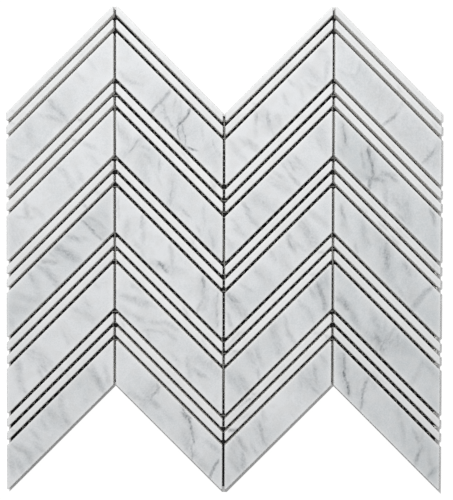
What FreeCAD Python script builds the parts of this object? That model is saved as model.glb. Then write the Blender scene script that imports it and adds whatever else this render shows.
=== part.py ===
# Chevron mosaic sheet: mitred marble bars and thin strips, laid face up on a trimmed glass-fibre net.
# The sheet lies flat, its columns running along Y and its honed face towards +Z.
# The origin is under the middle of the sheet, on the back of the net.
import FreeCAD
import Part
import math
import os

# Layout of the sheet
columns = 4
courses = 5
strips_per_course = 2
slope = math.radians(45.0)

# Stones, in millimetres: widths are square to the long edges, and joints are the gaps left for grout
column_width = 74.6
column_joint = 1.6
bar_width = 22.5
strip_width = 4.5
course_joint = 2.1
stone_thickness = 9.5
rim_radius = 0.3
tip_cut = 1.2

# Net: how far it stays inside the stones' edges, and how much is cut off at the points
net_thickness = 0.5
net_end_margin = 1.5
net_left_margin = 6.5
net_right_margin = 3.0
net_top_trim = 17.5
net_bottom_trim = 36.5


def upright(width):
    """Height along Y of a slanting band of this square width."""
    return width / math.cos(slope)


# Sizes that follow
rise = column_width * math.tan(slope)
column_pitch = column_width + column_joint
sheet_width = columns * column_pitch - column_joint
strip_pitch = upright(strip_width + course_joint)
course_pitch = strips_per_course * strip_pitch + upright(bar_width + course_joint)
column_height = courses * course_pitch - upright(course_joint)
sheet_length = column_height + rise

# The rim's rounding may take up nearly all of the flat on a blunted tip, and no more
tip_angle = math.pi / 2 - slope
tip_flat = 2 * tip_cut * math.sin(tip_angle / 2)
widest_rim = 0.45 * tip_flat * math.tan(math.pi / 4 + tip_angle / 4)


def column_left(column):
    """Where a column's left ends lie. One past the last column, it is a joint past the right edge."""
    return column * column_pitch - sheet_width / 2


def climbs(column):
    """The first column climbs to the right, the next one falls, and so on."""
    return column % 2 == 0


def prism(corners, bottom, height):
    """A flat outline drawn at this level and raised by this height."""
    points = [FreeCAD.Vector(x, y, bottom) for x, y in corners]
    outline = Part.makePolygon(points + points[:1])
    return Part.Face(outline).extrude(FreeCAD.Vector(0, 0, height))


def eased(sawn):
    """Blunts a sawn stone's two sharp tips, then rounds the rim of its face."""
    box = sawn.BoundBox
    low, high = box.YMin + tip_cut, box.YMax - tip_cut
    tips = [edge for edge in sawn.Edges if edge.BoundBox.YMax < low or edge.BoundBox.YMin > high]
    blunt = sawn.makeChamfer(tip_cut, tips)
    middle = net_thickness + stone_thickness / 2
    rim = [edge for edge in blunt.Edges if edge.BoundBox.ZMin > middle]
    return blunt.makeFillet(min(rim_radius, widest_rim), rim)


def stone(column, depth, width):
    """One mitred stone, its upper edge this depth below the sheet's upper zigzag."""
    left = column_left(column)
    right = left + column_width
    high = sheet_length / 2 - depth
    low = high - rise
    left_y, right_y = (low, high) if climbs(column) else (high, low)
    drop = upright(width)
    corners = [(left, left_y), (left, left_y - drop), (right, right_y - drop), (right, right_y)]
    return eased(prism(corners, net_thickness, stone_thickness))


def strips(column, course):
    """The thin strips that lie above a course's bar."""
    tops = [course * course_pitch + place * strip_pitch for place in range(strips_per_course)]
    return [stone(column, top, strip_width) for top in tops]


def bar(column, course):
    """The wide bar that closes a course."""
    return stone(column, course * course_pitch + strips_per_course * strip_pitch, bar_width)


def zigzag(depth):
    """The slanting edges drawn on to the middle of each joint, this depth below the upper ones."""
    high = sheet_length / 2 - depth + column_joint / 2 * math.tan(slope)
    low = high - column_pitch * math.tan(slope)
    middles = [column_left(joint) - column_joint / 2 for joint in range(columns + 1)]
    return [(x, low if climbs(joint) else high) for joint, x in enumerate(middles)]


def net():
    """One thin sheet inside the stones' zigzag ends, with its sides and points cut off straight."""
    margin = upright(net_end_margin)
    outline = zigzag(margin) + zigzag(column_height - margin)[::-1]
    left = net_left_margin - sheet_width / 2
    right = sheet_width / 2 - net_right_margin
    bottom = net_bottom_trim - sheet_length / 2
    top = sheet_length / 2 - net_top_trim
    cut = [(left, bottom), (right, bottom), (right, top), (left, top)]
    return prism(outline, 0, net_thickness).common(prism(cut, 0, net_thickness)).Solids[0]


def save(name, solids):
    """Writes one named piece, or a few like pieces that don't touch."""
    shape = solids[0] if len(solids) == 1 else Part.makeCompound(solids)
    shape.exportStep(os.path.join("parts", name + ".step"))


os.makedirs("parts", exist_ok=True)
save("mesh_backing", [net()])
for column in range(columns):
    for course in range(courses):
        save(f"column_{column + 1}_strips_{course + 1}", strips(column, course))
        save(f"column_{column + 1}_bar_{course + 1}", [bar(column, course)])
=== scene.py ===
import math
import random

import bmesh
import bpy
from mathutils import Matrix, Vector
from mathutils.bvhtree import BVHTree


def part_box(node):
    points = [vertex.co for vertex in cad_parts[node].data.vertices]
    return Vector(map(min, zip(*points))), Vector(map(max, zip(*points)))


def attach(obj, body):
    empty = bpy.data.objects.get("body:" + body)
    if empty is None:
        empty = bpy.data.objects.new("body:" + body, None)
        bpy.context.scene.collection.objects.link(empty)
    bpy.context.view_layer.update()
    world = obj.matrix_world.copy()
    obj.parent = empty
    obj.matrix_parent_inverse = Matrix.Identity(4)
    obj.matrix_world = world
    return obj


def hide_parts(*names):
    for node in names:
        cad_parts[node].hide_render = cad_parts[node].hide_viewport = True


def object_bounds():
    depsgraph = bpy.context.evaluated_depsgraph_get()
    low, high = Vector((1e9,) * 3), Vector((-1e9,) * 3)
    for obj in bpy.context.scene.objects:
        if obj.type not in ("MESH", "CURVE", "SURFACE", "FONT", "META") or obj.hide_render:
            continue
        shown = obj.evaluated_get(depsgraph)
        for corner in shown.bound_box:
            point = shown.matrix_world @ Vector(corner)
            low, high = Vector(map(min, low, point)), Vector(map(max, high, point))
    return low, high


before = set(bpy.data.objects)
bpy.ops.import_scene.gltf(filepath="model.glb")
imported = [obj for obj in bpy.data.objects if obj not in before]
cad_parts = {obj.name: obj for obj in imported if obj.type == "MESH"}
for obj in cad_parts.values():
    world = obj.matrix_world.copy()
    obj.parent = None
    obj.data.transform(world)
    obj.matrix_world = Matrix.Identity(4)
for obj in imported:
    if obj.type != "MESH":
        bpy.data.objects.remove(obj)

CAD_BOX = [list(corner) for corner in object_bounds()]
MM = 0.001

# Far above the sheet, in millimetres
FAR_ABOVE = 1000.0

# Layout of the sheet, repeated from its construction, and how much its points lost when they were blunted
COLUMNS = 4
COURSES = 5
STRIP_WIDTH = 4.5 * MM
COURSE_JOINT = 2.1 * MM
STRIP_PITCH = (STRIP_WIDTH + COURSE_JOINT) * math.sqrt(2)
POINT_LOSS = 0.85 * MM

# The photograph: how much of the sheet's face one pixel covers, and how high the camera stood over it
IMAGE_HEIGHT_PX = 500
PIXEL = 0.698 * MM
CAMERA_HEIGHT = 0.75
CAMERA_ASIDE = (1.5 * MM, -0.35 * MM)
CAMERA_TILT = math.radians(-1.4)
CAMERA_ROLL = math.radians(0.14)
LENS_SHIFT_PX = 0.5
SENSOR_HEIGHT_MM = 24.0

# The net: flat weft threads, and pairs of warp strands that twist round them
WEFT_PITCH = 4.0 * MM
WEFT_TURN = math.radians(1.7)
WEFT_SHIFT = -1.6 * MM
WEFT_WIDTH = 0.7 * MM
WARP_PITCH = 4.5 * MM
WARP_TURN = math.radians(92.9)
WARP_SHIFT = 0.0
STRAND_WIDTH = 0.55 * MM
THREAD_THICKNESS = 0.2 * MM
THREAD_SIDES = 6
TWIST_SWING = 0.28 * MM
TWIST_LIFT = 0.14 * MM
TWIST_STEPS = 2
CUT_STEP = 0.25 * MM

# Cut ends of the net that stand up in the joints at the right: how many joints of a course have them
FRAYED_JOINTS = {3: 3, 4: 3, 5: 1}
FRAY_SEED = 7
FRAY_INSET = 3.0 * MM
FRAY_FIBRES = 8
FRAY_WIDTH = 0.42 * MM
FRAY_HEIGHT = (7.6 * MM, 9.2 * MM)
FRAY_LEAN = 1.5 * MM
FRAY_SPLAY = 0.75 * MM
FRAY_CUTS = 7
FRAY_CURL = 3

# In the last column the joints fall to the right
ALONG_JOINT = Vector((1, -1, 0)).normalized()
ACROSS_JOINT = Vector((1, 1, 0)).normalized()

# What the sheet lies on: a black card that shows in the joints, a grey one under it that stands out a little
# at the lower right as a painted shadow, and a white floor. The cards are cut back at the right where a
# joint runs out
CARD_LEFT_INSET = 0.7 * MM
CARD_BLUNT = 1.6 * MM
MOUTH_DEPTH = 1.2 * MM
MOUTH_TOP = (1.4 * MM, 0.6 * MM)
MOUTH_FOOT = (-2.4 * MM, -1.6 * MM)
BLACK_HAIRLINE = -0.3 * MM
BLACK_SHIFT = (0.0, 0.0)
BLACK_SPREAD = 1.0
BLACK_LEVEL = -0.05 * MM
BLACK_TONE = 0.03
# The grey card is a painted shadow: it stands out below and to the right of the sheet
SHADOW_CARD_HAIRLINE = 0.30 * MM
SHADOW_CARD_SHIFT = (0.78 * MM, -0.98 * MM)
SHADOW_CARD_LEVEL = -0.10 * MM
SHADOW_CARD_SPREAD = (CAMERA_HEIGHT + CAD_BOX[1][2] - SHADOW_CARD_LEVEL) / CAMERA_HEIGHT
SHADOW_CARD_TONE = 0.74
FLOOR_LEVEL = -0.15 * MM
FLOOR_HALF = 15.0
FLOOR_TONE = 0.12
FLOOR_GLOW = 0.95
MATT = {"Roughness": 0.9, "Specular IOR Level": 0.0}

# The light: a white world, a key light beyond the upper end and one overhead, in metres and watts
WORLD_LIGHT = 0.28
KEY_PLACE = (-0.15, 1.1, 1.3)
KEY_SIZE = 0.5
KEY_POWER = 18
OVERHEAD_PLACE = (0, 0, 1.5)
OVERHEAD_SIZE = 0.8
OVERHEAD_POWER = 4.2

# Noise swings about its mean, and edges are felt for with a few samples
NOISE_MEAN = 0.5
EDGE_SAMPLES = 3

# The Mix node's sockets for two colours and for what comes out
MIX_FIRST = 6
MIX_SECOND = 7
MIX_RESULT = 2


class Value:
    """A socket of a finish's node tree, so that sums on it can be written as sums."""

    def __init__(self, finish, socket):
        self.finish = finish
        self.socket = socket

    def sum(self, operation, first, second):
        """Adds one Math node."""
        return self.finish.add("ShaderNodeMath", {"operation": operation}, {0: first, 1: second})

    def __add__(self, other):
        return self.sum("ADD", self, other)

    def __radd__(self, other):
        return self.sum("ADD", other, self)

    def __sub__(self, other):
        return self.sum("SUBTRACT", self, other)

    def __rsub__(self, other):
        return self.sum("SUBTRACT", other, self)

    def __mul__(self, other):
        return self.sum("MULTIPLY", self, other)

    def __rmul__(self, other):
        return self.sum("MULTIPLY", other, self)

    def __or__(self, other):
        """The larger of two masks."""
        return self.sum("MAXIMUM", self, other)

    def __ror__(self, other):
        return self.sum("MAXIMUM", other, self)


class Finish:
    """A material that is built up node by node."""

    def __init__(self, name):
        self.material = bpy.data.materials.new(name)
        self.material.use_nodes = True
        self.tree = self.material.node_tree
        self.tree.nodes.clear()
        self.output = self.tree.nodes.new("ShaderNodeOutputMaterial")

    def add(self, kind, settings=None, inputs=None, output=0):
        """Adds one node: its settings first, then the values or links of its sockets."""
        node = self.tree.nodes.new(kind)
        for name, setting in (settings or {}).items():
            setattr(node, name, setting)
        for name, value in (inputs or {}).items():
            if isinstance(value, Value):
                self.tree.links.new(value.socket, node.inputs[name])
            else:
                node.inputs[name].default_value = value
        return Value(self, node.outputs[output])

    def vector(self, operation, first, second):
        """Adds one Vector Math node."""
        return self.add("ShaderNodeVectorMath", {"operation": operation}, {0: first, 1: second})

    def scaled(self, vector, factor):
        """A vector times a number."""
        return self.add("ShaderNodeVectorMath", {"operation": "SCALE"}, {"Vector": vector, "Scale": factor})

    def place(self):
        """Where a point lies on the sheet, in millimetres."""
        return self.scaled(self.add("ShaderNodeTexCoord", output="Object"), 1 / MM)

    def turned(self, place, centre, turn, scale):
        """Coordinates about a centre, along a direction, in units of a length, a width and a height."""
        return self.add("ShaderNodeMapping", {"vector_type": "TEXTURE"}, {
            "Vector": place, "Location": centre, "Rotation": (0, 0, turn), "Scale": scale})

    def noise(self, place, size, detail, roughness=0.5, output="Fac"):
        """Cloudy noise whose largest clouds are about this many millimetres across."""
        return self.add("ShaderNodeTexNoise", None, {
            "Vector": place, "Scale": 1 / size, "Detail": detail, "Roughness": roughness}, output)

    def wander(self, place, size, reach):
        """The same place, pushed to and fro by up to about this reach."""
        noise = self.noise(place, size, detail=2, output="Color")
        push = self.vector("SUBTRACT", noise, (NOISE_MEAN, NOISE_MEAN, NOISE_MEAN))
        return self.vector("ADD", place, self.scaled(push, 2 * reach))

    def ramp(self, value, low, high, bottom=0.0, top=1.0):
        """Eases from bottom to top while a value goes from low to high."""
        return self.add("ShaderNodeMapRange", {"interpolation_type": "SMOOTHSTEP"}, {
            "Value": value, "From Min": low, "From Max": high, "To Min": bottom, "To Max": top})

    def mix(self, amount, first, second):
        """Blends two colours."""
        return self.add("ShaderNodeMix", {"data_type": "RGBA"}, {
            "Factor": amount, MIX_FIRST: first, MIX_SECOND: second}, MIX_RESULT)

    def edge(self, reach, inner, outer):
        """How near a point lies to an edge of its own stone, by how open the stone is within this reach."""
        settings = {"inside": True, "only_local": True, "samples": EDGE_SAMPLES}
        around = self.add("ShaderNodeAmbientOcclusion", settings, {"Distance": reach}, "AO")
        return self.ramp(around, inner, outer)

    def rounded(self, radius):
        """The normal with sharp edges rounded off by this much."""
        return self.add("ShaderNodeBevel", {"samples": EDGE_SAMPLES}, {"Radius": radius})

    def bump(self, height, distance, normal):
        """A normal that rises and falls with a height."""
        return self.add("ShaderNodeBump", None, {"Height": height, "Distance": distance, "Normal": normal})

    def part(self, vector, axis):
        """How far a vector points along one axis."""
        return self.add("ShaderNodeSeparateXYZ", None, {"Vector": vector}, axis)

    def surface(self, inputs):
        """Closes the finish with its one shader."""
        shader = self.add("ShaderNodeBsdfPrincipled", None, inputs)
        self.tree.links.new(shader.socket, self.output.inputs["Surface"])
        return self.material


def colour(red, green, blue):
    return (red, green, blue, 1.0)


def grey(tone):
    return colour(tone, tone, tone)


# Marble: the bars' and strips' tones from pale to grey, the veins, a painted highlight on the rims, and the
# sawn sides, paler than the face partly as painted light on the walls of the joints
BAR_TONES = colour(0.775, 0.790, 0.808), colour(0.595, 0.628, 0.645)
STRIP_TONES = colour(0.826, 0.834, 0.842), colour(0.715, 0.732, 0.742)
WARM_TONE = colour(0.690, 0.690, 0.685)
VEIN_TONE = colour(0.130, 0.150, 0.165)
PAINTED_HIGHLIGHT_TONE = colour(0.975, 0.975, 0.970)
UPPER_HIGHLIGHT_REACH = 2.1 * MM
UPPER_HIGHLIGHT_OPEN = (0.96, 0.78)
ARRIS_ROUND = 1.3 * MM
EDGE_HIGHLIGHT_REACH = 5.0 * MM
EDGE_HIGHLIGHT_OPEN = (1.0, 0.45)
EDGE_HIGHLIGHT_SHARE = 0.26
SAWN_AND_PAINTED_LIGHT_TONE = colour(0.950, 0.935, 0.905)
SAWN_AND_PAINTED_LIGHT_SHARE = 0.68
HONED_ROUGHNESS = 0.40
MOTTLE_ROUGHNESS = 0.08
SAWN_ROUGHNESS = 0.30

# The marble's pattern: how large its layers are, in millimetres, and how much each counts. A stretch draws
# a layer out along the bedding. A wander says over what length and how far it is pushed about. A ramp says
# between which two values it rises or falls, and between which amounts, or else from none to all
BASE_GREYNESS = 0.27
DRIFT_SIZE = 42
DRIFT_SHARE = 1.1
CLOUD_SIZE = 17
CLOUD_STRETCH = (1.25, 1, 1)
CLOUD_WANDER = (16, 5)
MOTTLE_SIZE = 5
MOTTLE_SHARE = 0.5
GRAIN_SIZE = 1.0
GRAIN_SHARE = 1.3
WARM_SIZE = 8
WARM_RAMP = (0.45, 0.62, 0.0, 0.35)
STREAK_SIZE = 1.9
STREAK_STRETCH = (4, 1, 1)
STREAK_WANDER = (8, 2.5)
FLECK_RAMP = (0.56, 0.80)
FLECK_SHARE = 0.13
PATCH_SIZE = 18
PATCH_RAMP = (0.40, 0.62, 0.15, 1.0)
SIDE_RAMP = (0.30, 0.05)
HIGHLIGHT_RIM_RAMP = (-0.05, 0.25, 0.35, 1.0)
HONED_SIZE = 0.5
HONED_SHARE = 0.3
SAW_MARKS = (6, 6, 0.35)
STONE_RELIEF = 0.08 * MM

# How the stones were cut: how far apart in the block, in millimetres, and how their bedding lies in each
# column, in degrees. A stone's seed is its column times one of the seeds here, plus its course
BLOCK_REACH = 900
BEDDING = (-45, 60, -50, 80)
BEDDING_SPREAD = 15
STRIP_BEDDING_TURN = 20
BEDDING_SEED = 100
BAR_SEED = 31
STRIP_SEED = 57

# How much greyer or paler than the rest some bars are, by column and course, and the strips, by column. The
# greyness of the last column is partly the stones' own tone and partly painted shade, the sheet lying darker
# towards the lower right
GREYER_AND_SHADED_BARS = {
    (1, 3): 0.25, (1, 5): 0.04, (2, 5): 0.20, (3, 4): 0.22, (3, 5): 0.08,
    (4, 1): 0.06, (4, 2): 0.38, (4, 3): 0.42, (4, 4): 0.52, (4, 5): 0.40,
}
PALER_BARS = {
    (1, 1): 0.10, (1, 2): 0.08, (1, 4): 0.24, (2, 1): 0.16, (2, 2): 0.06,
    (2, 3): 0.14, (3, 1): 0.44, (3, 2): 0.16, (3, 3): 0.06,
}
GREYER_AND_SHADED_STRIPS = {1: 0.35, 3: 0.10, 4: 0.55}

# Veins that stand out, by column and course: strength, width and the points passed, in millimetres
VEINS = {
    (1, 1): [
        (0.32, 4, [(-123, 105), (-116, 96), (-110, 90)]), (0.28, 3.5, [(-120, 91), (-116, 90)]),
        (0.10, 12, [(-120, 97), (-113, 90)]), (0.15, 6, [(-136, 86), (-135, 77)]),
        (0.15, 4, [(-95, 132), (-93, 129)]), (0.14, 3, [(-102, 122), (-99, 119)]),
        (0.16, 2.5, [(-127, 93), (-126, 92)]), (0.12, 5, [(-135, 74), (-130, 72)]),
        (0.18, 2.5, [(-147, 64), (-142, 62)]),
    ],
    (1, 2): [
        (0.18, 4, [(-98, 74), (-94, 72)]), (0.13, 6, [(-89, 60), (-87, 57)]),
        (0.18, 3.5, [(-115, 56), (-113, 55)]), (0.14, 5, [(-110, 51), (-106, 45)]),
        (0.14, 4, [(-101, 52), (-100, 50)]), (0.24, 4, [(-139, 33), (-138, 26)]),
        (0.18, 3.5, [(-142, 22), (-138, 22)]), (0.13, 4, [(-130, 26), (-128, 24)]),
        (0.14, 16, [(-150, 14), (-143, 2)]),
    ],
    (1, 3): [
        (0.50, 2.4, [(-100, 21), (-95, 17), (-91, 12)]), (0.42, 2.2, [(-91, 12), (-84, 6)]),
        (0.28, 3, [(-91, 21), (-86, 17)]), (0.14, 9, [(-92, 18), (-85, 12)]),
        (0.30, 3.5, [(-110, 10), (-104, 7)]), (0.16, 4, [(-104, 7), (-99, 7)]),
        (0.40, 8, [(-116, 1), (-110, -3)]), (0.18, 4, [(-122, -2), (-119, -4)]),
        (0.40, 3.5, [(-126, -8), (-120, -9)]), (0.32, 4.5, [(-129, -12), (-121, -18), (-116, -25)]),
        (0.32, 3.5, [(-135, -19), (-134, -21)]), (0.15, 6, [(-131, -26), (-129, -34)]),
        (0.18, 5, [(-139, -34), (-133, -36)]), (0.14, 7, [(-150, -42), (-143, -42)]),
        (0.14, 5, [(-149, -48), (-148, -52)]), (0.10, 8, [(-81, 21), (-79, 19)]),
    ],
    (1, 4): [
        (0.17, 4, [(-98, -34), (-95, -39)]), (0.16, 5, [(-103, -42), (-95, -46), (-90, -51)]),
        (0.14, 3, [(-90, -24), (-89, -26)]), (0.14, 3.5, [(-111, -61), (-110, -63)]),
        (0.18, 9, [(-134, -72), (-128, -76)]), (0.24, 5, [(-127, -79), (-123, -86)]),
        (0.22, 3.5, [(-124, -83), (-122, -86)]), (0.26, 4, [(-128, -87), (-127, -90)]),
        (0.24, 5, [(-144, -81), (-142, -94), (-138, -102)]), (0.22, 3, [(-142, -86), (-142, -88)]),
    ],
    (1, 5): [
        (0.22, 4, [(-95, -83), (-93, -87)]), (0.34, 5, [(-90, -88), (-87, -94), (-83, -100)]),
        (0.22, 4, [(-82, -86), (-81, -90)]), (0.18, 5, [(-114, -101), (-113, -109)]),
        (0.16, 9, [(-124, -112), (-118, -118)]), (0.22, 3, [(-126, -121), (-125, -123)]),
        (0.24, 3, [(-132, -130), (-131, -131)]), (0.24, 5, [(-110, -119), (-107, -124)]),
        (0.22, 4.5, [(-145, -138), (-139, -142), (-135, -148)]), (0.32, 4, [(-128, -140), (-126, -142)]),
        (0.26, 5, [(-150, -147), (-149, -151)]), (0.24, 4, [(-143, -152), (-141, -155)]),
    ],
    (2, 1): [
        (0.75, 2.4, [(-24, 97), (-27, 92), (-31, 87)]), (0.55, 1.6, [(-31, 88), (-32, 81), (-31, 76)]),
        (0.60, 1.8, [(-29, 88), (-28, 80), (-27, 74)]), (0.24, 8, [(-30, 89), (-29, 77)]),
        (0.75, 2.2, [(-25, 71), (-22, 70)]), (0.42, 2.4, [(-38, 110), (-43, 104)]),
        (0.48, 2.4, [(-44, 103), (-47, 100), (-51, 95)]), (0.32, 3, [(-43, 102), (-41, 93), (-36, 86)]),
        (0.32, 2.4, [(-42, 94), (-39, 91)]), (0.18, 2.5, [(-34, 104), (-35, 97)]),
        (0.22, 1.8, [(-30, 102), (-29, 94)]), (0.10, 16, [(-41, 97), (-29, 84)]),
        (0.20, 3.5, [(-65, 116), (-61, 115)]), (0.16, 4, [(-72, 122), (-68, 118)]),
        (0.15, 3, [(-15, 82), (-14, 77)]), (0.20, 2.2, [(-7, 73), (-6, 69)]),
        (0.20, 3, [(-4, 66), (-3, 64)]), (0.14, 7, [(-10, 69), (-8, 65)]),
    ],
    (2, 2): [
        (0.36, 2.4, [(-74, 86), (-73, 82)]), (0.18, 7, [(-72, 81), (-69, 77)]),
        (0.42, 2.4, [(-60, 75), (-65, 69)]), (0.16, 8, [(-60, 75), (-65, 70)]),
        (0.18, 3, [(-56, 71), (-54, 70)]), (0.18, 3.5, [(-53, 63), (-52, 62)]),
        (0.22, 2.4, [(-45, 59), (-45, 57)]), (0.16, 2.5, [(-46, 50), (-45, 48)]),
        (0.30, 3, [(-36, 46), (-37, 40), (-37, 34)]), (0.14, 9, [(-36, 46), (-37, 34)]),
        (0.30, 2.6, [(-28, 27), (-26, 25)]), (0.18, 2.4, [(-14, 28), (-14, 22)]),
        (0.16, 2.2, [(-18, 14), (-17, 11)]), (0.20, 3, [(-9, 10), (-8, 3)]),
        (0.12, 10, [(-11, -1), (-5, -6)]), (0.11, 7, [(-57, 57), (-56, 53)]),
    ],
    (2, 3): [
        (0.26, 3, [(-74, 32), (-74, 25)]), (0.36, 2.8, [(-56, 22), (-57, 18)]),
        (0.18, 4, [(-56, 17), (-57, 8)]), (0.15, 4, [(-68, 17), (-69, 8)]),
        (0.13, 4, [(-60, 2), (-58, -1)]), (0.20, 3.5, [(-37, -1), (-36, -14)]),
        (0.62, 3, [(-44, -11), (-42, -13)]), (0.22, 6, [(-46, -11), (-38, -13)]),
        (0.60, 3, [(-14, -21), (-14, -24)]), (0.18, 8, [(-14, -22), (-14, -33)]),
        (0.32, 3.2, [(-15, -29), (-15, -33)]), (0.28, 3, [(-14, -33), (-18, -43)]),
        (0.30, 2.4, [(-4, -31), (-5, -40), (-5, -52)]), (0.12, 9, [(-6, -38), (-6, -48)]),
    ],
    (2, 4): [
        (0.22, 3.5, [(-62, -26), (-60, -28)]), (0.15, 4, [(-74, -31), (-69, -33)]),
        (0.26, 6, [(-66, -34), (-56, -38)]), (0.18, 4, [(-63, -46), (-59, -48)]),
        (0.26, 3, [(-48, -51), (-39, -52), (-34, -55)]), (0.18, 2.5, [(-53, -57), (-43, -58)]),
        (0.18, 3, [(-39, -58), (-36, -61)]), (0.20, 3, [(-53, -60), (-52, -63)]),
        (0.15, 5, [(-74, -40), (-68, -44)]), (0.28, 3.5, [(-18, -86), (-15, -88)]),
        (0.17, 8, [(-13, -79), (-4, -84)]), (0.20, 4, [(-25, -80), (-24, -85)]),
        (0.20, 3, [(-7, -80), (-6, -82)]), (0.15, 3, [(-34, -75), (-33, -76)]),
    ],
    (2, 5): [
        (0.72, 2.3, [(-29, -110), (-27, -116), (-25, -117)]), (0.70, 2.4, [(-24, -119), (-22, -126)]),
        (0.52, 1.9, [(-22, -127), (-21, -135)]), (0.42, 2.4, [(-22, -139), (-22, -147)]),
        (0.20, 6, [(-26, -115), (-22, -127)]), (0.20, 7, [(-25, -136), (-22, -147)]),
        (0.48, 2.3, [(-46, -95), (-46, -98), (-50, -103)]), (0.34, 4, [(-52, -104), (-49, -107)]),
        (0.26, 3.5, [(-56, -106), (-53, -106)]), (0.16, 9, [(-51, -100), (-55, -108)]),
        (0.60, 2.2, [(-5, -150), (-8, -155), (-10, -160)]), (0.24, 3.5, [(-9, -137), (-5, -140)]),
        (0.20, 5, [(-65, -102), (-61, -104)]), (0.14, 3, [(-40, -115), (-38, -117)]),
        (0.22, 7, [(-20, -145), (-17, -150)]),
    ],
    (3, 1): [
        (0.36, 2.8, [(22, 94), (22, 91)]), (0.15, 4, [(22, 90), (22, 84)]),
        (0.36, 3.4, [(30, 93), (31, 89)]), (0.20, 4, [(31, 87), (34, 82)]),
        (0.14, 10, [(27, 94), (33, 86)]), (0.15, 4, [(38, 90), (40, 87)]),
        (0.18, 3, [(46, 117), (48, 115)]), (0.17, 3, [(42, 106), (43, 104)]),
        (0.13, 3, [(53, 113), (54, 108)]), (0.17, 7, [(60, 123), (65, 119)]),
        (0.15, 4, [(59, 115), (61, 113)]), (0.12, 8, [(67, 137), (73, 133)]),
        (0.20, 4, [(72, 128), (71, 122)]), (0.22, 5, [(18, 73), (22, 70)]), (0.17, 3, [(4, 75), (6, 73)]),
        (0.15, 5, [(8, 69), (12, 65)]),
    ],
    (3, 2): [
        (0.28, 2.6, [(41, 58), (46, 52), (52, 45)]), (0.20, 2.2, [(50, 48), (52, 46)]),
        (0.30, 2.8, [(46, 60), (48, 57)]), (0.18, 3.5, [(51, 63), (55, 58)]),
        (0.10, 13, [(44, 60), (57, 54)]), (0.18, 3.5, [(36, 53), (39, 51)]),
        (0.13, 7, [(37, 45), (43, 42)]), (0.22, 3.4, [(24, 34), (27, 33)]), (0.16, 9, [(25, 34), (34, 27)]),
        (0.28, 3.5, [(15, 30), (18, 23), (22, 18)]), (0.18, 3, [(7, 19), (8, 18)]),
        (0.15, 4, [(3, 6), (5, 3)]), (0.14, 4, [(11, 12), (13, 10)]), (0.20, 3, [(66, 75), (67, 73)]),
        (0.13, 8, [(68, 82), (70, 77)]),
    ],
    (3, 3): [
        (0.42, 4.2, [(46, 7), (47, 4)]), (0.17, 4, [(50, 4), (56, 1)]), (0.24, 8, [(55, 17), (61, 8)]),
        (0.24, 3.5, [(59, 10), (60, 8)]), (0.20, 4, [(56, 14), (58, 12)]),
        (0.20, 3.5, [(60, 27), (62, 25)]), (0.14, 5, [(66, 21), (70, 18)]),
        (0.22, 3.5, [(33, -3), (34, -5)]), (0.22, 4, [(24, -17), (26, -19)]),
        (0.11, 10, [(23, -15), (30, -21)]), (0.18, 3, [(14, -26), (16, -27)]),
        (0.11, 8, [(41, -6), (45, -13)]), (0.48, 3.6, [(3, -31), (6, -35)]),
        (0.40, 2.6, [(7, -34), (9, -36)]), (0.26, 8, [(7, -37), (15, -46)]),
        (0.26, 2.6, [(9, -42), (12, -45)]), (0.30, 4, [(2, -45), (4, -50)]),
    ],
    (3, 4): [
        (0.48, 4.5, [(67, -27), (69, -34), (70, -38)]), (0.20, 9, [(67, -25), (70, -36)]),
        (0.17, 5, [(70, -15), (72, -22)]), (0.28, 3.5, [(60, -26), (62, -30)]),
        (0.18, 3, [(54, -38), (55, -40)]), (0.20, 4, [(58, -42), (62, -48)]),
        (0.26, 3, [(43, -50), (44, -55)]), (0.28, 4, [(46, -59), (49, -65)]),
        (0.20, 7, [(34, -54), (38, -66)]), (0.18, 6, [(17, -71), (20, -77)]),
        (0.22, 4, [(24, -73), (26, -79)]), (0.24, 3, [(24, -85), (25, -89)]),
        (0.28, 5, [(14, -93), (18, -99)]), (0.20, 6, [(4, -88), (11, -97)]),
    ],
    (3, 5): [
        (0.22, 5, [(53, -83), (54, -90)]), (0.26, 4, [(58, -91), (62, -96), (66, -99)]),
        (0.24, 3.5, [(64, -97), (66, -99)]), (0.28, 3.5, [(64, -85), (65, -89)]),
        (0.15, 15, [(55, -86), (65, -95)]), (0.18, 4, [(69, -75), (70, -77)]),
        (0.38, 4, [(26, -125), (28, -132)]), (0.26, 4, [(29, -133), (31, -137)]),
        (0.15, 10, [(25, -124), (29, -136)]), (0.17, 4, [(27, -113), (28, -118)]),
        (0.34, 4.5, [(11, -134), (14, -138)]), (0.17, 8, [(5, -131), (8, -141)]),
        (0.36, 4.2, [(13, -146), (14, -151)]), (0.22, 3.5, [(22, -140), (23, -142)]),
        (0.20, 5, [(8, -151), (11, -156)]), (0.15, 4, [(2, -158), (3, -162)]),
    ],
    (4, 1): [
        (0.44, 3.2, [(118, 93), (114, 89), (110, 86)]), (0.20, 4.5, [(124, 101), (119, 95)]),
        (0.12, 14, [(112, 103), (121, 92)]), (0.20, 2.4, [(94, 128), (93, 123)]),
        (0.14, 3, [(81, 124), (83, 123)]), (0.14, 4, [(90, 120), (92, 118)]),
        (0.15, 4, [(108, 114), (108, 107)]), (0.50, 2.8, [(141, 63), (143, 65), (145, 68)]),
        (0.26, 6, [(145, 67), (149, 72)]), (0.12, 20, [(128, 83), (146, 66)]),
    ],
    (4, 2): [
        (0.50, 2.3, [(84, 80), (85, 75)]), (0.32, 2.2, [(83, 86), (84, 80)]),
        (0.16, 6, [(83, 84), (84, 76)]), (0.16, 3, [(81, 70), (82, 68)]), (0.28, 2.8, [(96, 66), (97, 60)]),
        (0.66, 2.8, [(101, 69), (103, 60), (103, 54)]), (0.24, 8, [(102, 68), (103, 53)]),
        (0.72, 3, [(103, 51), (102, 48), (101, 44)]), (0.44, 4, [(103, 50), (108, 49)]),
        (0.16, 8, [(98, 51), (107, 49)]), (0.44, 3.4, [(114, 52), (117, 50)]),
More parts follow.
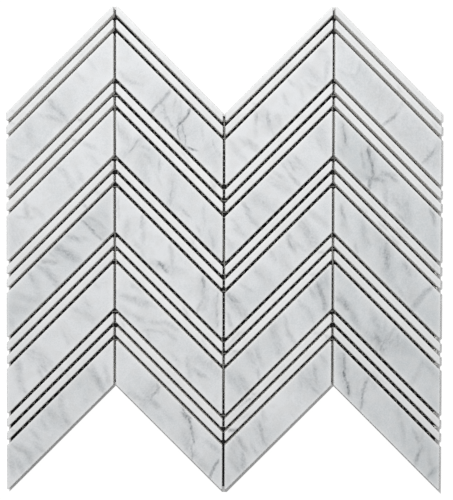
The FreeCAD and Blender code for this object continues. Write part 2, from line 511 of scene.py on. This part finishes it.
        (0.24, 4, [(108, 51), (115, 52)]), (0.36, 3.4, [(113, 38), (113, 35)]),
        (0.16, 3.5, [(112, 47), (112, 38)]), (0.18, 4, [(114, 41), (118, 39)]),
        (0.20, 6, [(120, 34), (123, 31)]), (0.20, 8, [(127, 31), (128, 24)]),
        (0.30, 3, [(123, 23), (125, 21)]), (0.46, 3.3, [(145, 26), (146, 23)]),
    ],
    (4, 3): [
        (0.42, 3, [(82, 27), (83, 24)]), (0.18, 4, [(82, 24), (83, 20)]), (0.15, 3, [(84, 18), (85, 16)]),
        (0.20, 4.5, [(97, 15), (98, 8)]), (0.20, 3, [(98, 9), (100, 7)]), (0.28, 2.6, [(92, 2), (93, -3)]),
        (0.44, 5, [(113, 0), (114, -9)]), (0.18, 10, [(112, 0), (114, -14)]),
        (0.34, 3.5, [(127, -12), (128, -15)]), (0.36, 3.8, [(146, -25), (139, -32), (134, -38)]),
        (0.34, 4.5, [(135, -37), (132, -42)]), (0.18, 4, [(123, -29), (125, -32)]),
        (0.12, 10, [(129, -16), (131, -28)]),
    ],
    (4, 4): [
        (0.42, 4, [(80, -35), (84, -37), (87, -41)]), (0.26, 3.4, [(85, -38), (87, -41)]),
        (0.18, 5, [(78, -29), (81, -33)]), (0.26, 5, [(91, -47), (93, -51)]),
        (0.18, 4, [(88, -43), (91, -48)]), (0.15, 3, [(98, -56), (100, -58)]),
        (0.22, 5, [(106, -49), (108, -54)]), (0.15, 3, [(113, -53), (113, -55)]),
        (0.50, 4.5, [(108, -63), (110, -68)]), (0.34, 3.4, [(107, -60), (107, -69)]),
        (0.42, 4, [(110, -66), (115, -61)]), (0.18, 4, [(115, -61), (120, -56)]),
        (0.20, 13, [(107, -63), (115, -65)]), (0.24, 3, [(122, -62), (122, -66)]),
        (0.18, 4, [(139, -81), (133, -91)]), (0.18, 5, [(145, -83), (148, -87)]),
    ],
    (4, 5): [
        (0.55, 2.8, [(84, -75), (85, -86)]), (0.80, 2.4, [(85, -85), (86, -92), (87, -99)]),
        (0.24, 8, [(83, -76), (86, -96)]), (0.26, 5, [(83, -74), (84, -79)]),
        (0.42, 3, [(101, -90), (98, -97)]), (0.55, 2.4, [(98, -97), (97, -106), (96, -112)]),
        (0.18, 7, [(99, -92), (97, -104)]), (0.22, 5, [(101, -89), (103, -92)]),
        (0.15, 6, [(94, -95), (95, -101)]), (0.20, 4, [(125, -123), (126, -129)]),
        (0.14, 5, [(122, -109), (123, -115)]), (0.28, 3, [(135, -130), (136, -132)]),
        (0.16, 4, [(139, -132), (139, -139)]), (0.40, 3, [(137, -143), (135, -149)]),
        (0.16, 4, [(144, -145), (145, -149)]), (0.32, 4, [(143, -160), (147, -156)]),
    ],
}

# Spots on the thin strips, in the same terms
STRIP_SPOTS = {
    (1, 1): [
        (0.22, 2.2, [(-148, 96), (-147, 95)]), (0.30, 2, [(-151, 88), (-148, 87)]),
    ],
    (1, 2): [
        (0.40, 2.2, [(-101, 90), (-99, 89)]), (0.30, 2, [(-105, 76), (-103, 75)]),
    ],
    (1, 3): [
        (0.36, 2.4, [(-79, 59), (-78, 58)]), (0.42, 2.2, [(-98, 30), (-96, 28)]),
        (0.16, 3, [(-88, 39), (-85, 37)]), (0.15, 3, [(-116, 29), (-114, 28)]),
    ],
    (1, 4): [
        (0.28, 2.2, [(-141, -14), (-140, -16)]), (0.17, 3, [(-146, -6), (-144, -7)]),
    ],
    (1, 5): [
        (0.32, 2.2, [(-149, -127), (-147, -128)]), (0.15, 3, [(-114, -83), (-112, -85)]),
    ],
    (2, 2): [
        (0.15, 2.4, [(-27, 66), (-26, 64)]), (0.17, 3, [(-8, 47), (-7, 44)]),
    ],
    (2, 3): [
        (0.20, 2.4, [(-21, 4), (-20, 2)]), (0.15, 3, [(-74, 60), (-72, 58)]),
    ],
    (2, 4): [
        (0.30, 2.2, [(-27, -43), (-26, -45)]), (0.18, 3, [(-14, -64), (-13, -67)]),
    ],
    (2, 5): [
        (0.17, 2.4, [(-71, -51), (-70, -53)]),
    ],
    (3, 1): [
        (0.17, 2.4, [(21, 101), (22, 100)]),
    ],
    (3, 4): [
        (0.30, 2.6, [(65, -1), (69, -2)]), (0.15, 2.4, [(60, -16), (63, -17)]),
        (0.22, 4, [(4, -65), (10, -60)]), (0.50, 2, [(8, -71), (9, -71)]), (0.18, 4, [(3, -72), (6, -73)]),
    ],
    (3, 5): [
        (0.18, 2.6, [(62, -57), (65, -58)]), (0.30, 2.4, [(70, -59), (72, -60)]),
        (0.45, 2.6, [(15, -106), (17, -105)]), (0.28, 2.2, [(18, -101), (20, -101)]),
        (0.40, 2.4, [(4, -114), (10, -110)]), (0.90, 2.8, [(4, -126), (7, -126)]),
        (0.20, 3, [(11, -119), (14, -117)]),
    ],
    (4, 1): [
        (0.20, 2.6, [(121, 114), (122, 112)]), (0.20, 3, [(147, 86), (149, 83)]),
    ],
    (4, 3): [
        (0.24, 2.4, [(96, 29), (98, 27)]), (0.24, 2.4, [(110, 17), (112, 15)]),
        (0.30, 2.4, [(118, 8), (120, 6)]), (0.17, 3, [(123, 13), (126, 10)]),
        (0.16, 6, [(142, -7), (149, -14)]),
    ],
    (4, 4): [
        (0.15, 3, [(115, -25), (117, -28)]),
    ],
    (4, 5): [
        (0.17, 3, [(107, -89), (110, -91)]),
    ],
}

# How a drawn vein is softened, wanders and trembles, and is broken up by the streaks and by crumbs
VEIN_TAPER = 3.0
VEIN_SOFTNESS = 0.85
VEIN_WANDER = (9, 2.0)
VEIN_TREMBLE = (2.0, 0.9)
VEIN_STREAK_RAMP = (0.30, 0.70, 0.65, 1.25)
CRUMB_SIZE = 1.5
CRUMB_RAMP = (0.34, 0.66, 0.70, 1.22)


def drawn_veins(finish, place, streaks, veins):
    """A mask of soft strokes along each vein, made uneven by the marble's streaks and by wandering."""
    loose = finish.wander(finish.wander(place, *VEIN_WANDER), *VEIN_TREMBLE)
    mask = 0.0
    for strength, width, points in veins:
        for (x, y), (next_x, next_y) in zip(points, points[1:]):
            length = math.hypot(next_x - x, next_y - y)
            local = finish.turned(loose, ((x + next_x) / 2, (y + next_y) / 2, 0),
                                  math.atan2(next_y - y, next_x - x), (VEIN_TAPER, 1, 1))
            beyond = finish.vector("SUBTRACT", finish.vector("ABSOLUTE", local, (0, 0, 0)),
                                   (length / 2 / VEIN_TAPER, 0, FAR_ABOVE))
            outside = finish.vector("MAXIMUM", beyond, (0, 0, 0))
            distance = finish.add("ShaderNodeVectorMath", {"operation": "LENGTH"}, {0: outside}, "Value")
            mask = finish.ramp(distance, VEIN_SOFTNESS * width, 0.0, 0.0, strength) | mask
    crumbs = finish.noise(place, CRUMB_SIZE, detail=2, roughness=0.6)
    return mask * finish.ramp(streaks, *VEIN_STREAK_RAMP) * finish.ramp(crumbs, *CRUMB_RAMP)


def marble(name, seed, bedding, tones, greyness_and_shade=0.0, veins=()):
    """Honed marble: soft clouds drawn out along its bedding, flecks of grey and the veins that stand out."""
    finish = Finish(name)
    draw = random.Random(seed)
    place = finish.place()
    block = [draw.uniform(-BLOCK_REACH, BLOCK_REACH) for _ in range(3)]
    turn = math.radians(bedding)
    bed = finish.turned(place, block, turn, CLOUD_STRETCH)
    own = finish.vector("ADD", place, block)

    drift = finish.noise(own, DRIFT_SIZE, detail=1) - NOISE_MEAN
    clouds = finish.noise(finish.wander(bed, *CLOUD_WANDER), CLOUD_SIZE, detail=2) - NOISE_MEAN
    mottle = finish.noise(bed, MOTTLE_SIZE, detail=3, roughness=0.6) - NOISE_MEAN
    grain = finish.noise(own, GRAIN_SIZE, detail=2) - NOISE_MEAN
    uneven = drift * DRIFT_SHARE + clouds + mottle * MOTTLE_SHARE + grain * GRAIN_SHARE
    stone = finish.mix(uneven + (BASE_GREYNESS + greyness_and_shade), *tones)
    warmth = finish.ramp(finish.noise(own, WARM_SIZE, detail=2), *WARM_RAMP)
    stone = finish.mix(warmth, stone, WARM_TONE)

    layers = finish.turned(finish.wander(place, *STREAK_WANDER), block, turn, STREAK_STRETCH)
    streaks = finish.noise(layers, STREAK_SIZE, detail=3, roughness=0.6)
    patches = finish.ramp(finish.noise(own, PATCH_SIZE, detail=1), *PATCH_RAMP)
    veined = finish.ramp(streaks, *FLECK_RAMP) * patches * FLECK_SHARE
    if veins:
        veined = veined + drawn_veins(finish, place, streaks, veins)
    stone = finish.mix(veined, stone, VEIN_TONE)

    facing = finish.add("ShaderNodeNewGeometry", output="Normal")
    side = finish.ramp(finish.part(facing, "Z"), *SIDE_RAMP)
    rounded = finish.rounded(ARRIS_ROUND)
    upper = finish.ramp(finish.part(rounded, "Y"), *HIGHLIGHT_RIM_RAMP)
    # Painted highlight: a pale band near every edge, and a brighter line along the rims that face up the
    # sheet, towards the key light
    stone = finish.mix(finish.edge(EDGE_HIGHLIGHT_REACH, *EDGE_HIGHLIGHT_OPEN) * EDGE_HIGHLIGHT_SHARE, stone, PAINTED_HIGHLIGHT_TONE)
    stone = finish.mix(finish.edge(UPPER_HIGHLIGHT_REACH, *UPPER_HIGHLIGHT_OPEN) * upper, stone, PAINTED_HIGHLIGHT_TONE)
    # The sides: a sawn finish, and paler than the face partly as painted light that brightens the walls of
    # the joints
    stone = finish.mix(side * SAWN_AND_PAINTED_LIGHT_SHARE, stone, SAWN_AND_PAINTED_LIGHT_TONE)

    roughness = HONED_ROUGHNESS + mottle * MOTTLE_ROUGHNESS + side * SAWN_ROUGHNESS
    sawn = finish.noise(finish.turned(place, (0, 0, 0), 0, SAW_MARKS), size=1, detail=2)
    honed = finish.noise(place, HONED_SIZE, detail=2)
    relief = finish.bump(honed * HONED_SHARE + sawn * side, STONE_RELIEF, rounded)
    return finish.surface({"Base Color": stone, "Roughness": roughness, "Normal": relief})


def finish_node(node, material):
    """Gives a stone of the sheet its finish."""
    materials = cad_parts[node].data.materials
    materials.clear()
    materials.append(material)


def dress_stones():
    """Every stone gets marble of its own cut, so that no vein runs on from one stone to the next."""
    for column in range(1, COLUMNS + 1):
        for course in range(1, COURSES + 1):
            draw = random.Random(column * BEDDING_SEED + course)
            bedding = BEDDING[column - 1] + draw.uniform(-BEDDING_SPREAD, BEDDING_SPREAD)
            place = column, course

            bar = f"column_{column}_bar_{course}"
            greyness_and_shade = GREYER_AND_SHADED_BARS.get(place, 0) - PALER_BARS.get(place, 0)
            finish_node(bar, marble(bar + "_marble", column * BAR_SEED + course, bedding,
                                    BAR_TONES, greyness_and_shade, VEINS.get(place, ())))

            strips = f"column_{column}_strips_{course}"
            greyness_and_shade = GREYER_AND_SHADED_STRIPS.get(column, 0)
            finish_node(strips, marble(strips + "_marble", column * STRIP_SEED + course,
                                       bedding + STRIP_BEDDING_TURN,
                                       STRIP_TONES, greyness_and_shade, STRIP_SPOTS.get(place, ())))


class Lay:
    """Parallel threads: their direction, spacing and how far the first lies from the sheet's middle."""

    def __init__(self, turn, pitch, shift):
        self.along = Vector((math.cos(turn), math.sin(turn), 0))
        self.across = Vector((-self.along.y, self.along.x, 0))
        self.pitch = pitch
        self.shift = shift

    def beat(self, point):
        """How many pitches a point lies from the first thread, so that whole numbers are on a thread."""
        return (point.dot(self.across) - self.shift) / self.pitch


WEFT = Lay(WEFT_TURN, WEFT_PITCH, WEFT_SHIFT)
WARP = Lay(WARP_TURN, WARP_PITCH, WARP_SHIFT)


def runs_inside(outline, start, along, length):
    """The stretches of a straight thread that lie within the net's outline."""
    runs = []
    begin = None
    for step in range(int(length / CUT_STEP) + 2):
        distance = step * CUT_STEP
        point = start + along * distance
        inside = outline.ray_cast(Vector((point.x, point.y, FAR_ABOVE * MM)), Vector((0, 0, -1)))[0]
        if inside and begin is None:
            begin = distance
        if not inside and begin is not None:
            runs.append((begin, distance))
            begin = None
    return runs


def drawn_strand(cuts):
    """A strand one wide and one long, cut across into short lengths that can be bent."""
    thread = bmesh.new()
    bmesh.ops.create_circle(thread, cap_ends=True, segments=THREAD_SIDES, radius=0.5)
    drawn = bmesh.ops.extrude_face_region(thread, geom=thread.faces[:])
    top = [item for item in drawn["geom"] if isinstance(item, bmesh.types.BMVert)]
    bmesh.ops.translate(thread, vec=(0, 0, 1), verts=top)
    lengthwise = [edge for edge in thread.edges if abs(edge.verts[0].co.z - edge.verts[1].co.z) > 0.5]
    bmesh.ops.subdivide_edges(thread, edges=lengthwise, cuts=cuts)
    bmesh.ops.recalc_face_normals(thread, faces=thread.faces)
    return thread


def join_strand(net, thread):
    """Adds a bent strand to the rest of its piece."""
    strand = bpy.data.meshes.new("strand")
    thread.to_mesh(strand)
    thread.free()
    net.from_mesh(strand)
    bpy.data.meshes.remove(strand)


def lay_thread(net, lay, start, run, width, steps, sway):
    """Lays one strand along its run and sways it over and under the others."""
    length = run[1] - run[0]
    thread = drawn_strand(max(1, round(length / steps) - 1))
    for vertex in thread.verts:
        aside, up, share = vertex.co
        centre = start + lay.along * (run[0] + length * share)
        section = lay.across * aside * width + Vector((0, 0, up * THREAD_THICKNESS))
        vertex.co = centre + section + sway(centre)
    join_strand(net, thread)


def straight(centre):
    """A weft thread doesn't sway."""
    return Vector()


def twisting(side):
    """One strand of a warp pair: over one weft thread, under the next, and beside its twin between them."""
    def sway(centre):
        turn = math.pi * WEFT.beat(centre)
        swing = WARP.across * side * TWIST_SWING * math.sin(turn)
        return swing + Vector((0, 0, side * TWIST_LIFT * math.cos(turn)))
    return sway


def lay_net(name, lay, width, steps, sway):
    """All the threads of one lay, cut off at the outline of the sheet's backing."""
    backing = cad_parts["mesh_backing"]
    outline = BVHTree.FromObject(backing, bpy.context.evaluated_depsgraph_get())
    low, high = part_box("mesh_backing")
    reach = (high - low).length
    middle = Vector((0, 0, (low.z + high.z) / 2))
    count = int(reach / 2 / lay.pitch)
    net = bmesh.new()
    for place in range(-count, count + 1):
        start = middle + lay.across * (lay.shift + place * lay.pitch) - lay.along * reach / 2
        for run in runs_inside(outline, start, lay.along, reach):
            lay_thread(net, lay, start, run, width, steps, sway)
    return new_piece(name, net)


def joint_ends(course):
    """How high on the sheet a course's three joints end at the right side, from its first strip down."""
    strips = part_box(f"column_{COLUMNS}_strips_{course}")[0].y - POINT_LOSS
    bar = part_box(f"column_{COLUMNS}_bar_{course}")[0].y - POINT_LOSS
    return strips + STRIP_PITCH, strips, bar


def stand_fibre(net, foot, draw):
    """One loose fibre that stands up from the net in a joint, leaning along it or across it."""
    lean = ALONG_JOINT * draw.uniform(-FRAY_LEAN, FRAY_LEAN)
    lean += ACROSS_JOINT * draw.uniform(-FRAY_SPLAY, FRAY_SPLAY)
    rise = Vector((0, 0, draw.uniform(*FRAY_HEIGHT)))
    fibre = drawn_strand(FRAY_CUTS)
    for vertex in fibre.verts:
        aside, up, share = vertex.co
        vertex.co = foot + Vector((aside, up, 0)) * FRAY_WIDTH + rise * share + lean * share ** FRAY_CURL
    join_strand(net, fibre)


def fray_net(name):
    """Tufts of loose fibres at the net's right edge, in the middle of the joints of the lower courses."""
    draw = random.Random(FRAY_SEED)
    net = bmesh.new()
    low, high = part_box("mesh_backing")
    for course, joints in FRAYED_JOINTS.items():
        for corner in joint_ends(course)[:joints]:
            middle = corner + FRAY_INSET - COURSE_JOINT / math.sqrt(2)
            foot = Vector((CAD_BOX[1][0] - FRAY_INSET, middle, (low.z + high.z) / 2))
            for _ in range(FRAY_FIBRES):
                stand_fibre(net, foot, draw)
    return new_piece(name, net)


def new_piece(name, mesh):
    """Turns a finished mesh into an object of the scene."""
    data = bpy.data.meshes.new(name)
    mesh.to_mesh(data)
    mesh.free()
    piece = bpy.data.objects.new(name, data)
    bpy.context.collection.objects.link(piece)
    return piece


# Glass fibre: the tones of the net, darkened as painted shade, and of its clean cut ends, and the grain of
# its fibres
SHADED_THREAD_TONES = colour(0.32, 0.32, 0.30), colour(0.48, 0.48, 0.46)
CUT_END_TONES = colour(0.84, 0.84, 0.82), colour(0.94, 0.94, 0.92)
FIBRE_SIZE = 0.35
FIBRE_RELIEF = 0.04 * MM
FIBRE_ROUND = 0.02 * MM
FIBRE_ROUGHNESS = 0.55


def thread_finish(name, tones):
    """Glass fibre: strands with a fine grain and a dull sheen."""
    finish = Finish(name)
    fibres = finish.noise(finish.place(), FIBRE_SIZE, detail=3, roughness=0.6)
    relief = finish.bump(fibres, FIBRE_RELIEF, finish.rounded(FIBRE_ROUND))
    return finish.surface({
        "Base Color": finish.mix(fibres, *tones), "Roughness": FIBRE_ROUGHNESS, "Normal": relief})


def weave_net():
    """The net's threads and its loose ends take the place of the sheet's plain backing."""
    # The net's threads are darkened as painted shade; the cut ends keep the glass fibre's own pale tone
    shaded_threads = thread_finish("glass_fibre_shaded_thread", SHADED_THREAD_TONES)
    clean = thread_finish("glass_fibre_ends", CUT_END_TONES)
    twist_length = WEFT_PITCH / TWIST_STEPS
    pieces = {
        lay_net("net_weft", WEFT, WEFT_WIDTH, WARP_PITCH, straight): shaded_threads,
        lay_net("net_warp_over", WARP, STRAND_WIDTH, twist_length, twisting(1)): shaded_threads,
        lay_net("net_warp_under", WARP, STRAND_WIDTH, twist_length, twisting(-1)): shaded_threads,
        fray_net("net_frayed_ends"): clean,
    }
    for piece, finish in pieces.items():
        piece.data.materials.append(finish)
        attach(piece, "root")
        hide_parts("mesh_backing")


def joint_mouths(right):
    """Cuts at the right side where the joints run out, each below a stone. None lies below the last bar."""
    cuts = []
    for course in range(1, COURSES + 1):
        corners = joint_ends(course)
        if course == COURSES:
            corners = corners[:-1]
        for corner in corners:
            cuts += [(right, corner + MOUTH_TOP[0]), (right - MOUTH_DEPTH, corner + MOUTH_TOP[1]),
                     (right - MOUTH_DEPTH, corner + MOUTH_FOOT[1]), (right, corner + MOUTH_FOOT[0])]
    return cuts


def lay_card(name, hairline, shift, spread, level, tone):
    """A card with the sheet's outline, larger by a hairline and spread out from the middle."""
    low, high = CAD_BOX
    first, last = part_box("column_1_bar_1"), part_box(f"column_{COLUMNS}_bar_1")
    width = first[1].x - first[0].x
    pitch = (last[0].x - first[0].x) / (COLUMNS - 1)
    joint = pitch - width
    length = high[1] - low[1] + 2 * POINT_LOSS - width
    peak = high[1] + POINT_LOSS + joint / 2
    start = low[0] - joint / 2
    left, right = low[0] + CARD_LEFT_INSET, high[0] + hairline
    lift = hairline * math.sqrt(2)
    inset, overhang = left - start, start + COLUMNS * pitch - right

    def zigzag(top, blunts):
        """From left to right, with peaks at this height, its dips and peaks blunted by these lengths."""
        corners = [(left, top - pitch + inset)]
        for place in range(1, COLUMNS):
            x = start + place * pitch
            blunt = blunts[place % 2]
            y = top - blunt if place % 2 else top - pitch + blunt
            corners += [(x - blunt, y), (x + blunt, y)] if blunt else [(x, y)]
        return corners + [(right, top - pitch + overhang)]

    upper = zigzag(peak + lift, (0, CARD_BLUNT))
    lower = zigzag(peak - length - lift, (CARD_BLUNT, 0))
    mesh = bmesh.new()
    mesh.faces.new([mesh.verts.new((x, y, level)) for x, y in upper + joint_mouths(right) + lower[::-1]])
    bmesh.ops.scale(mesh, vec=(spread, spread, 1), verts=mesh.verts)
    bmesh.ops.translate(mesh, vec=(*shift, 0), verts=mesh.verts)
    card = new_piece(name, mesh)
    finish = Finish(name)
    card.data.materials.append(finish.surface({"Base Color": grey(tone), **MATT}))


def white_floor():
    """Barely lit, but bright to the camera, in mirrors and through glass: white, with a soft shadow."""
    mesh = bmesh.new()
    bmesh.ops.create_grid(mesh, x_segments=1, y_segments=1, size=FLOOR_HALF)
    bmesh.ops.translate(mesh, vec=(0, 0, FLOOR_LEVEL), verts=mesh.verts)
    floor = new_piece("floor", mesh)
    finish = Finish("white_floor")
    seen = finish.add("ShaderNodeLightPath", output="Is Camera Ray")
    mirrored = finish.add("ShaderNodeLightPath", output="Is Glossy Ray")
    through = finish.add("ShaderNodeLightPath", output="Is Transmission Ray")
    white = finish.mix(seen | mirrored | through, grey(0), grey(1))
    floor.data.materials.append(finish.surface({
        "Base Color": grey(FLOOR_TONE), "Emission Color": white, "Emission Strength": FLOOR_GLOW, **MATT}))


def add_softbox(name, place, size, power):
    """A square soft light that faces the middle of the sheet."""
    softbox = bpy.data.lights.new(name, "AREA")
    softbox.size = size
    softbox.energy = power
    lamp = bpy.data.objects.new(name, softbox)
    bpy.context.collection.objects.link(lamp)
    lamp.location = place
    lamp.rotation_euler = (-lamp.location).to_track_quat("-Z", "Y").to_euler()


def set_lights():
    """Plain soft studio light."""
    world = bpy.data.worlds.new("studio")
    bpy.context.scene.world = world
    world.use_nodes = True
    background = world.node_tree.nodes["Background"]
    background.inputs["Color"].default_value = grey(1)
    background.inputs["Strength"].default_value = WORLD_LIGHT
    add_softbox("key_softbox", KEY_PLACE, KEY_SIZE, KEY_POWER)
    add_softbox("overhead_softbox", OVERHEAD_PLACE, OVERHEAD_SIZE, OVERHEAD_POWER)


def set_camera():
    """Looks down on the sheet, with the lens shifted so that the tilt doesn't move the picture."""
    face = CAD_BOX[1][2]
    data = bpy.data.cameras.new("camera")
    data.sensor_fit = "VERTICAL"
    data.sensor_height = SENSOR_HEIGHT_MM
    data.lens = SENSOR_HEIGHT_MM * CAMERA_HEIGHT / (IMAGE_HEIGHT_PX * PIXEL)
    camera = bpy.data.objects.new("camera", data)
    bpy.context.collection.objects.link(camera)
    camera.location = (*CAMERA_ASIDE, face + CAMERA_HEIGHT)
    camera.rotation_euler = (CAMERA_TILT, 0, CAMERA_ROLL)
    data.shift_x = LENS_SHIFT_PX / IMAGE_HEIGHT_PX
    data.shift_y = -math.tan(CAMERA_TILT) * data.lens / SENSOR_HEIGHT_MM
    bpy.context.scene.camera = camera


bpy.context.scene.view_settings.view_transform = "Standard"
dress_stones()
weave_net()
lay_card("black_card", BLACK_HAIRLINE, BLACK_SHIFT, BLACK_SPREAD, BLACK_LEVEL, BLACK_TONE)
# A grey card that stands out at the lower right, as a painted shadow
lay_card("painted_shadow_card", SHADOW_CARD_HAIRLINE, SHADOW_CARD_SHIFT, SHADOW_CARD_SPREAD, SHADOW_CARD_LEVEL, SHADOW_CARD_TONE)
white_floor()
set_lights()
set_camera()
